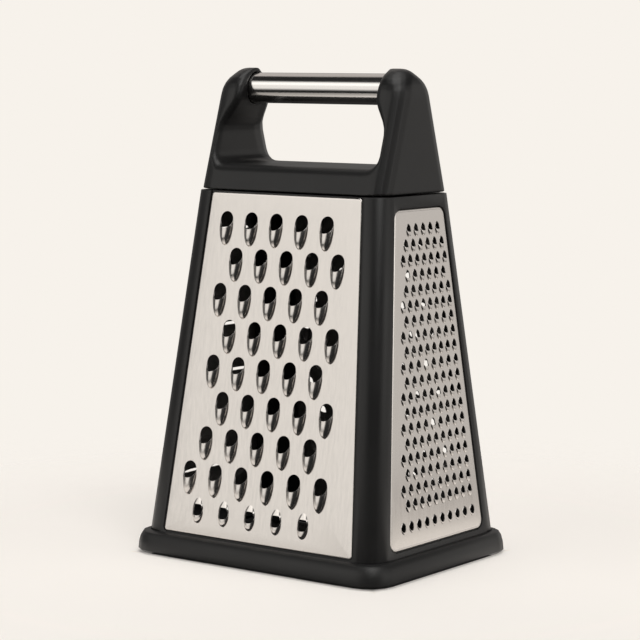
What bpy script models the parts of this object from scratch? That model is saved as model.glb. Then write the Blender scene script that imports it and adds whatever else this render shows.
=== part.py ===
"""Hand grater: a four-sided box grater with a steel bar handle, in metres, +Z up.

The grater stands on its foot pads at z = 0, centred on the origin. The coarse plate faces -Y, the fine plate
faces +X, the medium plate faces +Y and the slicing plate faces -X. Nothing on it moves.
"""
import math
from collections import namedtuple

import bmesh
import bpy
from mathutils import Matrix, Vector

MM = 0.001

# Gaps between pieces
FIT_GAP = 0.3 * MM
PLATE_EDGE_GAP = 0.5 * MM
SEAM_GAP = 0.7 * MM

# Overall height, to the top of the uprights
HEIGHT = 254.0 * MM

# Base ring and foot pads, from the ground up
PAD_STAND = 0.6 * MM
PAD_THICKNESS = 1.8 * MM
PAD_HALF_LENGTH = 15.0 * MM
PAD_HALF_WIDTH = 2.7 * MM
PAD_END_INSET = 38.7 * MM
RING_FLOOR = 4.1 * MM
RING_HEIGHT = 11.4 * MM
RING_LEDGE = 1.5 * MM
RING_CHAMFER = 1.5 * MM
RING_INNER_REACH = 2.3 * MM
RING_FLARE_X = 5.3 * MM
RING_FLARE_Y = 5.0 * MM
RING_CORNER_GROWTH = 5.6 * MM
RING_TOP = PAD_STAND + RING_HEIGHT
RING_FLOOR_TOP = PAD_STAND + RING_FLOOR

# Body frame: a tapered box, stated at its top and as it would reach the ground
FRAME_TOP = 190.4 * MM
FRAME_HALF_X_TOP = 60.5 * MM
FRAME_HALF_Y_TOP = 32.3 * MM
FRAME_HALF_X_GROUND = 75.4 * MM
FRAME_HALF_Y_GROUND = 58.9 * MM
FRAME_RADIUS = 10.0 * MM
FRAME_WALL = 3.2 * MM
DECK_THICKNESS = 3.0 * MM
FRAME_BOTTOM = RING_FLOOR_TOP + FIT_GAP
BASE_HALF_X = FRAME_HALF_X_GROUND + RING_FLARE_X
BASE_HALF_Y = FRAME_HALF_Y_GROUND + RING_FLARE_Y
RING_CORNER_RADIUS = FRAME_RADIUS + RING_CORNER_GROWTH
PAD_CENTRE_X = BASE_HALF_X - PAD_END_INSET

# Grating plates: pressed stainless sheet in rebates of the frame, between its corner posts and rails
SHEET = 0.6 * MM
PLATE_RECESS = 0.3 * MM
PLATE_LEDGE = 4.0 * MM
WINDOW_RADIUS = 0.5 * MM
WIDE_POST_TOP = 12.64 * MM
WIDE_POST_BOTTOM = 13.59 * MM
WIDE_BOTTOM_RAIL = 0.9 * MM
WIDE_PLATE_RADIUS = 2.0 * MM
SIDE_POST_TOP = 11.39 * MM
SIDE_POST_BOTTOM = 14.08 * MM
SIDE_TOP_RAIL = 6.4 * MM
SIDE_BOTTOM_RAIL = 3.2 * MM
SIDE_PLATE_RADIUS = 4.5 * MM
WIDE_PLATE_TOP = FRAME_TOP - PLATE_EDGE_GAP
WIDE_PLATE_BOTTOM = RING_TOP + WIDE_BOTTOM_RAIL
SIDE_PLATE_TOP = FRAME_TOP - SIDE_TOP_RAIL
SIDE_PLATE_BOTTOM = RING_TOP + SIDE_BOTTOM_RAIL

# Coarse plate: rows of scoops, a quarter pitch off centre to each side in turn, over one row of small ones
COARSE_TOP_MARGIN = 13.6 * MM
COARSE_SIDE_MARGIN = 11.3 * MM
COARSE_ROW_PITCH = 18.5 * MM
COARSE_PITCH_TOP = 16.1 * MM
COARSE_PITCH_BOTTOM = 17.0 * MM
COARSE_SHIFT = 4.2 * MM
SMALL_BOTTOM_MARGIN = 13.0 * MM
SMALL_SIDE_MARGIN = 14.0 * MM
SMALL_ROW_GAP = 19.0 * MM

# Medium plate: staggered rows of smaller scoops
MEDIUM_TOP_MARGIN = 13.9 * MM
MEDIUM_BOTTOM_MARGIN = 11.1 * MM
MEDIUM_SIDE_MARGIN = 9.0 * MM
MEDIUM_ROW_PITCH = 15.6 * MM
MEDIUM_PITCH = 14.4 * MM

# Fine plate: close rows of small raised holes, over one row of lobed punches. Each row runs between two shares
# of the plate's half width: the first rows have their own, and the others take turns.
FINE_TOP_MARGIN = 10.0 * MM
FINE_ROW_PITCH = 7.6 * MM
FINE_PITCH = 6.45 * MM
FINE_TOP_SPANS = ((-0.56, 0.56), (-0.67, 0.67), (-0.775, 0.775), (-0.62, 0.62))
FINE_SPANS = ((-0.675, 0.74), (-0.775, 0.74))
STAR_SPAN = (-0.775, 0.75)
STAR_PITCH = 7.0 * MM
STAR_BOTTOM_MARGIN = 11.0 * MM
STAR_ROW_GAP = 10.0 * MM

# Slicing plate: wide slits, each over a ramp that rises to a cutting lip
SLOT_TOP_MARGIN = 16.0 * MM
SLOT_BOTTOM_MARGIN = 8.0 * MM
SLOT_ROW_PITCH = 26.0 * MM
SLOT_WIDTH_SHARE = 0.70
SLOT_GAP_UP = 2.4 * MM
SLOT_LIP_DOWN = 1.2 * MM
SLOT_RAMP = 9.0 * MM
SLOT_RIM = 0.9 * MM
SLOT_LIP_LIFT = 2.0 * MM

# Punched teeth. The outline in the flat sheet reaches TOP above the hole's centre and TAIL below it. The cutting
# lip is LIP below the centre and LIFT above the sheet. Between the outline and the hole, RIM is the sloping edge
# at the sides, SILL the one at the top, and CROWN the height of the hole's upper half. LIP_SQUARENESS is a power:
# the lip would be half an ellipse at 1, and it is cut straighter across as the power falls.
COARSE_HALF_WIDTH = 4.2 * MM
COARSE_TOP = 4.0 * MM
COARSE_LIP = 4.2 * MM
COARSE_TAIL = 13.9 * MM
COARSE_LIFT = 2.7 * MM
COARSE_RIM = 0.35 * MM
SMALL_HALF_WIDTH = 3.0 * MM
SMALL_TOP = 5.6 * MM
SMALL_LIP = 2.9 * MM
SMALL_TAIL = 6.9 * MM
SMALL_LIFT = 1.6 * MM
SMALL_RIM = 0.5 * MM
SMALL_SILL = 2.6 * MM
SMALL_CROWN = -0.8 * MM
MEDIUM_HALF_WIDTH = 3.2 * MM
MEDIUM_TOP = 3.4 * MM
MEDIUM_LIP = 2.9 * MM
MEDIUM_TAIL = 9.2 * MM
MEDIUM_LIFT = 2.0 * MM
FINE_HALF_WIDTH = 1.75 * MM
FINE_TOP = 2.2 * MM
FINE_LIP = 1.7 * MM
FINE_TAIL = 4.8 * MM
FINE_LIFT = 1.0 * MM
STAR_HALF_WIDTH = 2.3 * MM
STAR_TOP = 3.0 * MM
STAR_LIP = 2.3 * MM
STAR_TAIL = 3.9 * MM
STAR_LIFT = 0.7 * MM
STAR_RIM = 0.5 * MM
LIP_SQUARENESS = 0.4

# Handle housing: one moulding with two uprights
HOUSING_INSET = 1.0 * MM
HOUSING_WALL = 2.6 * MM
HOOD_HEIGHT = 13.8 * MM
UPRIGHT_THICKNESS = 7.8 * MM
SHOULDER_HEIGHT = 14.0 * MM
SHOULDER_REACH = 10.5 * MM
SIDE_ROUND_RADIUS = 16.0 * MM
CREST_HALF_Y = 0.6 * MM
CREST_STEPS_DOWN = (9.0 * MM, 5.5 * MM, 3.0 * MM, 1.2 * MM)
HOUSING_HALF_X = FRAME_HALF_X_TOP - HOUSING_INSET
HOUSING_BOTTOM = FRAME_TOP + SEAM_GAP
HOUSING_FLOOR = FRAME_TOP + HOOD_HEIGHT
HOUSING_CEILING = HOUSING_FLOOR - HOUSING_WALL
INNER_WALL_X = HOUSING_HALF_X - UPRIGHT_THICKNESS
SHOULDER_START = HEIGHT - SHOULDER_HEIGHT

# Handle bar, between the uprights' bosses
BAR_RADIUS = 8.0 * MM
BAR_WALL = 1.0 * MM
BAR_END_COVER = 8.0 * MM
BAR_TOP_COVER = 2.55 * MM
PLUG_LENGTH = 8.0 * MM
PLUG_NOSE = 1.0 * MM
BAR_AXIS_Z = HEIGHT - BAR_RADIUS - BAR_TOP_COVER
BAR_HALF_LENGTH = HOUSING_HALF_X - BAR_END_COVER

# Finger gap, from the hood's floor up to the bosses that hold the bar. Its curves are shares of its height: the
# fillet at the floor, the neck where each upright thickens inwards to its boss, and the rolled edges, which are
# deeper across the walls and along them at the back. A roll takes no more than ROLL_LIMIT of the plastic.
NECK_DROP = 2.65 * MM
FILLET_SHARE = 0.164
NECK_SHARE = 0.546
BOSS_SHARE = 0.238
ROLL_SHARE = 0.109
BACK_ROLL_ACROSS_SHARE = 0.191
BACK_ROLL_ALONG_SHARE = 0.383
ROLL_LIMIT = 0.85
ROLL_ANGLES = (0.0, 28.0, 55.0, 80.0)
NECK_TOP = BAR_AXIS_Z - NECK_DROP
GAP_HEIGHT = NECK_TOP - HOUSING_FLOOR
FLOOR_FILLET = FILLET_SHARE * GAP_HEIGHT
NECK_LENGTH = NECK_SHARE * GAP_HEIGHT
BOSS_REACH = BOSS_SHARE * GAP_HEIGHT
EDGE_ROLL = ROLL_SHARE * GAP_HEIGHT
BACK_ROLL_ACROSS = BACK_ROLL_ACROSS_SHARE * GAP_HEIGHT
BACK_ROLL_ALONG = BACK_ROLL_ALONG_SHARE * GAP_HEIGHT

# Screws: pan heads, self-tapping into plain pilot holes in round bosses
SCREW_SHAFT_RADIUS = 1.5 * MM
SCREW_HEAD_RADIUS = 2.9 * MM
SCREW_HEAD_HEIGHT = 1.7 * MM
SCREW_POINT = 1.5 * MM
PILOT_SPARE = 1.0 * MM
BASE_SCREW_LENGTH = 11.0 * MM
BASE_BOSS_RADIUS = 5.9 * MM
BASE_BOSS_HEIGHT = 15.0 * MM
BASE_LUG_RADIUS = 6.5 * MM
LUG_INSET = 0.25 * MM
HOUSING_SCREW_LENGTH = 11.0 * MM
HOUSING_SCREW_INSET_X = 16.5 * MM
HOUSING_SCREW_INSET_Y = 17.3 * MM
HOUSING_BOSS_RADIUS = 4.2 * MM
BASE_BOSS_TOP = FRAME_BOTTOM + BASE_BOSS_HEIGHT
HOUSING_SCREW_X = FRAME_HALF_X_TOP - HOUSING_SCREW_INSET_X
HOUSING_SCREW_Y = FRAME_HALF_Y_TOP - HOUSING_SCREW_INSET_Y

# A cutter reaches OVERCUT past what it cuts, and a shape that is joined to another reaches OVERLAP into it
OVERCUT = 2.0 * MM
OVERLAP = 1.0 * MM

# Facets
CORNER_STEPS = 4
PLATE_CORNER_STEPS = 2
FILLET_STEPS = 4
NECK_STEPS = 6
FLARE_STEPS = 4
SHOULDER_STEPS = 7
BAR_SEGMENTS = 24
BOSS_SEGMENTS = 12
SCREW_SEGMENTS = 10
SHARP_ANGLE = math.radians(35.0)
PLATE_SHARP_ANGLE = math.radians(50.0)

# The end of a stadium keeps a sliver of its straight sides, so that no two of its points meet
NEARLY_ROUND = 0.98

Punch = namedtuple("Punch", "half_width top lip tail lift rim sill crown arc_steps lip_steps")
COARSE_TOOTH = Punch(COARSE_HALF_WIDTH, COARSE_TOP, COARSE_LIP, COARSE_TAIL, COARSE_LIFT, COARSE_RIM, COARSE_RIM,
                     0.0, 4, 6)
SMALL_TOOTH = Punch(SMALL_HALF_WIDTH, SMALL_TOP, SMALL_LIP, SMALL_TAIL, SMALL_LIFT, SMALL_RIM, SMALL_SILL,
                    SMALL_CROWN, 4, 4)
MEDIUM_TOOTH = Punch(MEDIUM_HALF_WIDTH, MEDIUM_TOP, MEDIUM_LIP, MEDIUM_TAIL, MEDIUM_LIFT, 0.0, 0.0, 0.0, 2, 4)
FINE_TOOTH = Punch(FINE_HALF_WIDTH, FINE_TOP, FINE_LIP, FINE_TAIL, FINE_LIFT, 0.0, 0.0, 0.0, 2, 2)
STAR_TOOTH = Punch(STAR_HALF_WIDTH, STAR_TOP, STAR_LIP, STAR_TAIL, STAR_LIFT, STAR_RIM, STAR_RIM, STAR_LIFT, 2, 2)

# Sides of the frame, by their turn about Z from the front
FRONT, RIGHT, BACK, LEFT = range(4)


def clear_scene():
    for old in list(bpy.data.objects):
        bpy.data.objects.remove(old, do_unlink=True)


def make_collections():
    parts = bpy.data.collections.new("hand_grater")
    cutters = bpy.data.collections.new("cutters")
    bpy.context.scene.collection.children.link(parts)
    bpy.context.scene.collection.children.link(cutters)
    return parts, cutters


def make_material(name, colour, roughness, metallic):
    material = bpy.data.materials.new(name)
    material.use_nodes = True
    shader = material.node_tree.nodes["Principled BSDF"]
    shader.inputs["Base Color"].default_value = (*colour, 1.0)
    shader.inputs["Roughness"].default_value = roughness
    shader.inputs["Metallic"].default_value = metallic
    return material


def add_object(name, bm, collection, material=None, matrix=None):
    """Turn a bmesh into an object, with its faces pointing outwards."""
    bmesh.ops.recalc_face_normals(bm, faces=bm.faces[:])
    mesh = bpy.data.meshes.new(name)
    bm.to_mesh(mesh)
    bm.free()
    obj = bpy.data.objects.new(name, mesh)
    collection.objects.link(obj)
    if material:
        mesh.materials.append(material)
    if matrix:
        obj.matrix_world = matrix
    return obj


def add_cutter(name, bm, matrix=None):
    obj = add_object(name, bm, CUTTERS, matrix=matrix)
    obj.hide_render = True
    obj.display_type = "WIRE"
    return obj


def apply_boolean(obj, tools, operation):
    """Cut or join each tool into the object's mesh, then drop the tools."""
    for tool in tools:
        modifier = obj.modifiers.new(tool.name, "BOOLEAN")
        modifier.operation = operation
        modifier.object = tool
        bpy.context.view_layer.update()
        evaluated = obj.evaluated_get(bpy.context.evaluated_depsgraph_get())
        mesh = bpy.data.meshes.new_from_object(evaluated)
        obj.modifiers.clear()
        obj.data = mesh
        bpy.data.objects.remove(tool, do_unlink=True)


def shade(obj, sharp_angle=SHARP_ANGLE):
    obj.data.shade_smooth()
    obj.data.set_sharp_from_angle(angle=sharp_angle)


def ring_points(half_x, half_y, radius, z, steps=CORNER_STEPS, centre=(0.0, 0.0)):
    """A rounded rectangle at height z, anticlockwise from above."""
    points = []
    for quarter, (sx, sy) in enumerate(((1, 1), (-1, 1), (-1, -1), (1, -1))):
        for step in range(steps + 1):
            angle = math.pi / 2 * (quarter + step / steps)
            points.append(Vector((
                centre[0] + sx * (half_x - radius) + radius * math.cos(angle),
                centre[1] + sy * (half_y - radius) + radius * math.sin(angle),
                z)))
    return points


def circle(radius, segments):
    """Points round a circle, as pairs."""
    angles = [2 * math.pi * step / segments for step in range(segments)]
    return [(radius * math.cos(angle), radius * math.sin(angle)) for angle in angles]


def loft(rings, closed=False):
    """Skin a list of rings with the same number of points. An open loft gets flat ends."""
    bm = bmesh.new()
    loops = [[bm.verts.new(point) for point in ring] for ring in rings]
    pairs = list(zip(loops, loops[1:]))
    if closed:
        pairs.append((loops[-1], loops[0]))
    else:
        bm.faces.new(loops[0][::-1])
        bm.faces.new(loops[-1])
    for low, high in pairs:
        for index in range(len(low)):
            after = (index + 1) % len(low)
            bm.faces.new((low[index], low[after], high[after], high[index]))
    return bm


def cylinder(radius, low, high, x, y, segments=SCREW_SEGMENTS):
    """An upright cylinder between two heights."""
    bm = bmesh.new()
    place = Matrix.Translation((x, y, (low + high) / 2))
    bmesh.ops.create_cone(bm, cap_ends=True, segments=segments, radius1=radius, radius2=radius,
                          depth=high - low, matrix=place)
    return bm


def bar_wise(low_x, high_x, radius, segments=BAR_SEGMENTS):
    """A cylinder along the handle bar's axis between two X positions."""
    bm = bmesh.new()
    place = Matrix.Translation(((low_x + high_x) / 2, 0.0, BAR_AXIS_Z)) @ Matrix.Rotation(math.pi / 2, 4, "Y")
    bmesh.ops.create_cone(bm, cap_ends=True, segments=segments, radius1=radius, radius2=radius,
                          depth=high_x - low_x, matrix=place)
    return bm


def turned(name, profile, segments, material, matrix, loop=False):
    """A turned shape: a profile of (radius, height) points with a Screw modifier about its own Z."""
    mesh = bpy.data.meshes.new(name)
    points = [(radius, 0.0, height) for radius, height in profile]
    edges = [(index, index + 1) for index in range(len(points) - 1)]
    if loop:
        edges.append((len(points) - 1, 0))
    mesh.from_pydata(points, edges, [])
    mesh.materials.append(material)
    obj = bpy.data.objects.new(name, mesh)
    PARTS.objects.link(obj)
    screw = obj.modifiers.new("turn", "SCREW")
    screw.steps = segments
    screw.render_steps = segments
    screw.use_merge_vertices = True
    screw.merge_threshold = 0.00001
    screw.use_smooth_shade = True
    obj.matrix_world = matrix
    return obj


def rounded_polygon(corners, radius, steps):
    """A convex outline with its corners rounded, as (u, v) points."""
    points = []
    count = len(corners)
    for index, corner in enumerate(corners):
        to_last = (Vector(corners[index - 1]) - Vector(corner)).normalized()
        to_next = (Vector(corners[(index + 1) % count]) - Vector(corner)).normalized()
        half = to_last.angle(to_next) / 2
        centre = Vector(corner) + (to_last + to_next).normalized() * radius / math.sin(half)
        start = Vector(corner) + to_last * radius / math.tan(half) - centre
        turn = math.pi - 2 * half
        for step in range(steps + 1):
            points.append(centre + Matrix.Rotation(turn * step / steps, 2) @ start)
    return points


def frame_half_x(z):
    return FRAME_HALF_X_TOP + (FRAME_HALF_X_GROUND - FRAME_HALF_X_TOP) * (FRAME_TOP - z) / FRAME_TOP


def frame_half_y(z):
    return FRAME_HALF_Y_TOP + (FRAME_HALF_Y_GROUND - FRAME_HALF_Y_TOP) * (FRAME_TOP - z) / FRAME_TOP


def frame_ring(z, offset=0.0):
    """The frame's outer outline at a height, grown or shrunk by an offset."""
    return ring_points(frame_half_x(z) + offset, frame_half_y(z) + offset, FRAME_RADIUS + offset, z)


def side_slope(side):
    """The lean of one side: how far it moves inwards for each metre of height."""
    if side in (FRONT, BACK):
        return (FRAME_HALF_Y_GROUND - FRAME_HALF_Y_TOP) / FRAME_TOP
    return (FRAME_HALF_X_GROUND - FRAME_HALF_X_TOP) / FRAME_TOP


def side_matrix(side, depth=0.0):
    """Local axes of one side: u across it, v up its slope from the ground, w out of it."""
    slope = side_slope(side)
    rise = 1.0 / math.hypot(1.0, slope)
    reach = FRAME_HALF_Y_GROUND if side in (FRONT, BACK) else FRAME_HALF_X_GROUND
    across = Vector((1.0, 0.0, 0.0))
    up = Vector((0.0, slope * rise, rise))
    out = across.cross(up)
    place = Matrix.Translation((0.0, -reach, 0.0)) @ Matrix((across, up, out)).transposed().to_4x4()
    return Matrix.Rotation(math.pi / 2 * side, 4, "Z") @ place @ Matrix.Translation((0.0, 0.0, depth))


def along_slope(side, z):
    """The v of a height on one side."""
    return z * math.hypot(1.0, side_slope(side))


def plate_heights(side):
    """Bottom and top height of the plate on one side."""
    if side in (FRONT, BACK):
        return WIDE_PLATE_BOTTOM, WIDE_PLATE_TOP
    return SIDE_PLATE_BOTTOM, SIDE_PLATE_TOP


def plate_half_width(side, z):
    """A plate fills the frame's side between its corner posts."""
    low, high = plate_heights(side)
    if side in (FRONT, BACK):
        half_low = frame_half_x(low) - WIDE_POST_BOTTOM
        half_high = frame_half_x(high) - WIDE_POST_TOP
    else:
        half_low = frame_half_y(low) - SIDE_POST_BOTTOM
        half_high = frame_half_y(high) - SIDE_POST_TOP
    return half_low + (half_high - half_low) * (z - low) / (high - low)


def plate_radius(side):
    return WIDE_PLATE_RADIUS if side in (FRONT, BACK) else SIDE_PLATE_RADIUS


def plate_outline(side, radius, grow=0.0, raise_top=0.0):
    """The outline of one plate in (u, v), grown all round, with its top raised further if asked."""
    low, high = plate_heights(side)
    low -= grow
    high += grow + raise_top
    v_low = along_slope(side, low)
    v_high = along_slope(side, high)
    half_low = plate_half_width(side, low) + grow
    half_high = plate_half_width(side, high) + grow
    corners = [(half_low, v_low), (half_high, v_high), (-half_high, v_high), (-half_low, v_low)]
    return rounded_polygon(corners, radius, PLATE_CORNER_STEPS)


def at_depth(outline, w):
    return [Vector((point[0], point[1], w)) for point in outline]


# Grating plates

def punch_tooth(bm, u, v, shape):
    """Add one tooth's raised faces, and return the edges of its outline in the flat sheet.

    The upper arc of the outline is the hole's top. The lower half is the hood: it rises from the long arc of the
    outline, which ends in a round tail, to the arched cutting lip, the lower half of the hole.
    """
    outline = []
    rim = []
    for step in range(shape.arc_steps + 1):
        angle = math.pi * step / shape.arc_steps
        direction = Vector((math.cos(angle), math.sin(angle)))
        outer = bm.verts.new((u + shape.half_width * direction.x, v + shape.top * direction.y, 0.0))
        outline.append(outer)
        if shape.rim > 0.0:
            inner_u = u + (shape.half_width - shape.rim) * direction.x
            inner_v = v + (shape.top - shape.sill) * direction.y
            rim.append(bm.verts.new((inner_u, inner_v, shape.crown * direction.y)))
        else:
            rim.append(outer)
    lip_half = shape.half_width - shape.rim
    for step in range(1, shape.lip_steps):
        angle = math.pi * (1.0 + step / shape.lip_steps)
        drop = -math.sin(angle)
        outline.append(bm.verts.new((u + shape.half_width * math.cos(angle), v - shape.tail * drop, 0.0)))
        lip = shape.lip * drop ** LIP_SQUARENESS
        rim.append(bm.verts.new((u + lip_half * math.cos(angle), v - lip, shape.lift * drop)))
    count = len(outline)
    for index in range(count):
        after = (index + 1) % count
        corners = [outline[index], outline[after], rim[after], rim[index]]
        corners = [corner for place, corner in enumerate(corners) if corner not in corners[:place]]
        if len(corners) > 2:
            bm.faces.new(corners)
    return loop_edges(bm, outline)


def punch_slot(bm, v, half_width):
    """Add one slicing slot: a wide slit with a ramp that rises to its cutting lip."""
    outline = [bm.verts.new(point) for point in (
        (half_width, v + SLOT_GAP_UP + SLOT_RIM, 0.0),
        (-half_width, v + SLOT_GAP_UP + SLOT_RIM, 0.0),
        (-half_width, v - SLOT_RAMP, 0.0),
        (half_width, v - SLOT_RAMP, 0.0))]
    inner = half_width - SLOT_RIM
    rim = [bm.verts.new(point) for point in (
        (inner, v + SLOT_GAP_UP, 0.0),
        (-inner, v + SLOT_GAP_UP, 0.0),
        (-inner, v - SLOT_LIP_DOWN, SLOT_LIP_LIFT),
        (inner, v - SLOT_LIP_DOWN, SLOT_LIP_LIFT))]
    for index in range(4):
        after = (index + 1) % 4
        bm.faces.new((outline[index], outline[after], rim[after], rim[index]))
    return loop_edges(bm, outline)


def loop_edges(bm, loop):
    """The edges round a loop of vertices, made where no face has made them."""
    edges = []
    for index, vert in enumerate(loop):
        other = loop[(index + 1) % len(loop)]
        edges.append(bm.edges.get((vert, other)) or bm.edges.new((vert, other)))
    return edges


def spread(low, high, pitch):
    """Evenly spaced places from low to high, about a pitch apart."""
    count = round((high - low) / pitch)
    return [low + (high - low) * index / count for index in range(count + 1)]


def rows_down(top, limit, pitch):
    """Heights a pitch apart, from the top row down to a limit."""
    return [top - pitch * index for index in range(int((top - limit) / pitch) + 1)]


def columns(centre, reach, pitch):
    """Places a pitch apart, one of them at the centre, that lie within a reach of the plate's middle."""
    first = math.ceil((-reach - centre) / pitch)
    last = math.floor((reach - centre) / pitch)
    return [centre + pitch * index for index in range(first, last + 1)]


def coarse_pattern(bm):
    top_row = WIDE_PLATE_TOP - COARSE_TOP_MARGIN
    small_row = WIDE_PLATE_BOTTOM + SMALL_BOTTOM_MARGIN
    rows = [(z, COARSE_TOOTH, COARSE_SIDE_MARGIN)
            for z in rows_down(top_row, small_row + SMALL_ROW_GAP, COARSE_ROW_PITCH)]
    rows.append((small_row, SMALL_TOOTH, SMALL_SIDE_MARGIN))
    edges = []
    for index, (z, shape, margin) in enumerate(rows):
        share = (top_row - z) / (top_row - small_row)
        pitch = COARSE_PITCH_TOP + (COARSE_PITCH_BOTTOM - COARSE_PITCH_TOP) * share
        centre = COARSE_SHIFT if index % 2 else -COARSE_SHIFT
        for u in columns(centre, plate_half_width(FRONT, z) - margin, pitch):
            edges += punch_tooth(bm, u, along_slope(FRONT, z), shape)
    return edges


def medium_pattern(bm):
    edges = []
    limit = WIDE_PLATE_BOTTOM + MEDIUM_BOTTOM_MARGIN
    for index, z in enumerate(rows_down(WIDE_PLATE_TOP - MEDIUM_TOP_MARGIN, limit, MEDIUM_ROW_PITCH)):
        centre = MEDIUM_PITCH / 2 if index % 2 else 0.0
        for u in columns(centre, plate_half_width(BACK, z) - MEDIUM_SIDE_MARGIN, MEDIUM_PITCH):
            edges += punch_tooth(bm, u, along_slope(BACK, z), MEDIUM_TOOTH)
    return edges


def fine_pattern(bm):
    star_row = SIDE_PLATE_BOTTOM + STAR_BOTTOM_MARGIN
    heights = rows_down(SIDE_PLATE_TOP - FINE_TOP_MARGIN, star_row + STAR_ROW_GAP, FINE_ROW_PITCH)
    rows = []
    for index, z in enumerate(heights):
        spans = FINE_TOP_SPANS if index < len(FINE_TOP_SPANS) else FINE_SPANS
        rows.append((z, spans[index % len(spans)], FINE_PITCH, FINE_TOOTH))
    rows.append((star_row, STAR_SPAN, STAR_PITCH, STAR_TOOTH))
    edges = []
    for z, span, pitch, shape in rows:
        half = plate_half_width(RIGHT, z)
        for u in spread(half * span[0], half * span[1], pitch):
            edges += punch_tooth(bm, u, along_slope(RIGHT, z), shape)
    return edges


def slicing_pattern(bm):
    edges = []
    limit = SIDE_PLATE_BOTTOM + SLOT_RAMP + SLOT_BOTTOM_MARGIN
    for z in rows_down(SIDE_PLATE_TOP - SLOT_TOP_MARGIN, limit, SLOT_ROW_PITCH):
        edges += punch_slot(bm, along_slope(LEFT, z), plate_half_width(LEFT, z) * SLOT_WIDTH_SHARE)
    return edges


def make_plate(name, side, pattern, material):
    """A plate: the flat sheet is filled between its outline and the teeth, then given its thickness inwards."""
    bm = bmesh.new()
    border = [bm.verts.new(point) for point in at_depth(plate_outline(side, plate_radius(side)), 0.0)]
    edges = loop_edges(bm, border) + pattern(bm)
    bmesh.ops.triangle_fill(bm, use_beauty=True, edges=edges, normal=(0.0, 0.0, 1.0))
    bmesh.ops.recalc_face_normals(bm, faces=bm.faces[:])
    result = bmesh.ops.extrude_face_region(bm, geom=bm.faces[:])
    moved = [item for item in result["geom"] if isinstance(item, bmesh.types.BMVert)]
    bmesh.ops.translate(bm, vec=(0.0, 0.0, -SHEET), verts=moved)
    plate = add_object(name, bm, PARTS, material, side_matrix(side, -PLATE_RECESS))
    shade(plate, PLATE_SHARP_ANGLE)


# Body frame

def window_cutter(side):
    """A stepped cutter for one side: the plate's rebate outside and the smaller window through the wall."""
    raise_top = OVERCUT if side in (FRONT, BACK) else 0.0
    rebate = plate_outline(side, plate_radius(side) + PLATE_EDGE_GAP, PLATE_EDGE_GAP, raise_top)
    window = plate_outline(side, WINDOW_RADIUS, -PLATE_LEDGE)
    rebate_depth = PLATE_RECESS + SHEET + FIT_GAP
    rings = [at_depth(window, -FRAME_WALL - OVERCUT), at_depth(window, -rebate_depth),
             at_depth(rebate, -rebate_depth), at_depth(rebate, OVERCUT)]
    return add_cutter("window_cutter", loft(rings), side_matrix(side))


def corners_of(x, y):
    return [(sx * x, sy * y) for sx, sy in ((1, 1), (-1, 1), (-1, -1), (1, -1))]


def base_boss_centre(z):
    """A base boss leans with the frame's walls and is sunk a little into them."""
    inset = FRAME_WALL + BASE_BOSS_RADIUS - OVERLAP
    return frame_half_x(z) - inset, frame_half_y(z) - inset


def base_screw_place():
    return base_boss_centre((FRAME_BOTTOM + BASE_BOSS_TOP) / 2)


def base_boss(sign_x, sign_y):
    rings = []
    for z in (FRAME_BOTTOM, BASE_BOSS_TOP):
        x, y = base_boss_centre(z)
        rings.append([Vector((sign_x * x + a, sign_y * y + b, z))
                      for a, b in circle(BASE_BOSS_RADIUS, BOSS_SEGMENTS)])
    return add_cutter("base_boss", loft(rings))


def make_frame(material):
    """The moulded frame: four corner posts, a window on each side, a closed deck on top and corner bosses."""
    outer = loft([frame_ring(FRAME_BOTTOM), frame_ring(FRAME_TOP)])
    frame = add_object("body_frame", outer, PARTS, material)
    deck_underside = FRAME_TOP - DECK_THICKNESS
    hollow = loft([frame_ring(FRAME_BOTTOM - OVERCUT, -FRAME_WALL), frame_ring(deck_underside, -FRAME_WALL)])
    apply_boolean(frame, [add_cutter("hollow", hollow)], "DIFFERENCE")
    apply_boolean(frame, [base_boss(sx, sy) for sx, sy in ((1, 1), (-1, 1), (-1, -1), (1, -1))], "UNION")
    apply_boolean(frame, [window_cutter(side) for side in (FRONT, RIGHT, BACK, LEFT)], "DIFFERENCE")
    hole = SCREW_SHAFT_RADIUS + FIT_GAP
    holes = []
    for x, y in corners_of(HOUSING_SCREW_X, HOUSING_SCREW_Y):
        through_deck = cylinder(hole, deck_underside - OVERCUT, FRAME_TOP + OVERCUT, x, y)
        holes.append(add_cutter("deck_hole", through_deck))
    pilot_top = base_screw_head_top() + BASE_SCREW_LENGTH + PILOT_SPARE
    for x, y in corners_of(*base_screw_place()):
        holes.append(add_cutter("pilot", cylinder(hole, FRAME_BOTTOM - OVERCUT, pilot_top, x, y)))
    apply_boolean(frame, holes, "DIFFERENCE")
    shade(frame)


# Base ring and foot pads

def base_screw_head_top():
    """The height of the face under the head, where the shaft starts."""
    return PAD_STAND + FIT_GAP + SCREW_HEAD_HEIGHT


def base_profile():
    """The base ring's section as rings: up the flared outside, along the ledge and down inside."""
    def outer(inset, z):
        return ring_points(BASE_HALF_X - inset, BASE_HALF_Y - inset, RING_CORNER_RADIUS - inset, z)

    ledge_x = frame_half_x(RING_TOP) + FIT_GAP + RING_LEDGE
    flare = BASE_HALF_X - ledge_x
    start = PAD_STAND + RING_CHAMFER
    rings = [outer(RING_CHAMFER, PAD_STAND), outer(0.0, start)]
    for step in range(1, FLARE_STEPS):
        angle = math.pi / 2 * step / FLARE_STEPS
        rings.append(outer(flare * (1.0 - math.cos(angle)), start + (RING_TOP - start) * math.sin(angle)))
    rings.append(frame_ring(RING_TOP, FIT_GAP + RING_LEDGE))
    rings.append(frame_ring(RING_TOP, FIT_GAP))
    rings.append(frame_ring(RING_FLOOR_TOP, FIT_GAP))
    rings.append(frame_ring(RING_FLOOR_TOP, -FRAME_WALL - RING_INNER_REACH))
    rings.append(frame_ring(PAD_STAND, -FRAME_WALL - RING_INNER_REACH))
    return rings


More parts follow.
